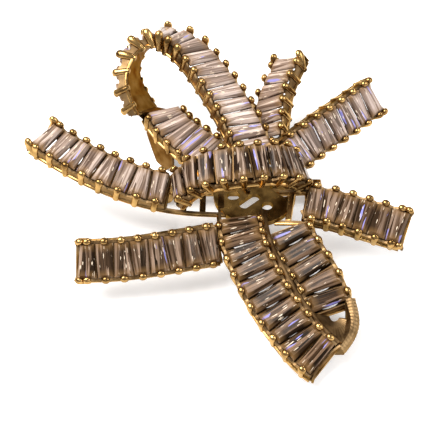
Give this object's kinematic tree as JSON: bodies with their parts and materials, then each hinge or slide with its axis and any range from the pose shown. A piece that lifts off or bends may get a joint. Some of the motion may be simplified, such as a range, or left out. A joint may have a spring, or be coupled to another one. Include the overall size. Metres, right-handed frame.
{
  "type": "bow brooch",
  "caption": "Bow brooch of ribbon-like claw settings that hold rows of tapered baguette stones, with two loops, tails, a knot band and a pin back.",
  "frame": {"origin": "on the surface that the brooch lies on, under the middle of the knot", "axes": "+Z out of the cloth, +Y up the garment, +X to the viewer's right"},
  "size_m": [0.0558, 0.0622, 0.0154],
  "materials": {
    "gold": "polished yellow gold plate",
    "stone": "clear cut stone with polished facets"
  },
  "bodies": {
    "root": {"bow_frame": "gold", "brooch_pin": "gold", "knot_stones": "stone", "upper_loop_stones": "stone", "lower_loop_stones": "stone", "left_tail_stones": "stone", "lower_left_tail_stones": "stone", "top_tail_stones": "stone", "upper_right_tail_stones": "stone", "right_tail_stones": "stone"}
  },
  "joints": []
}
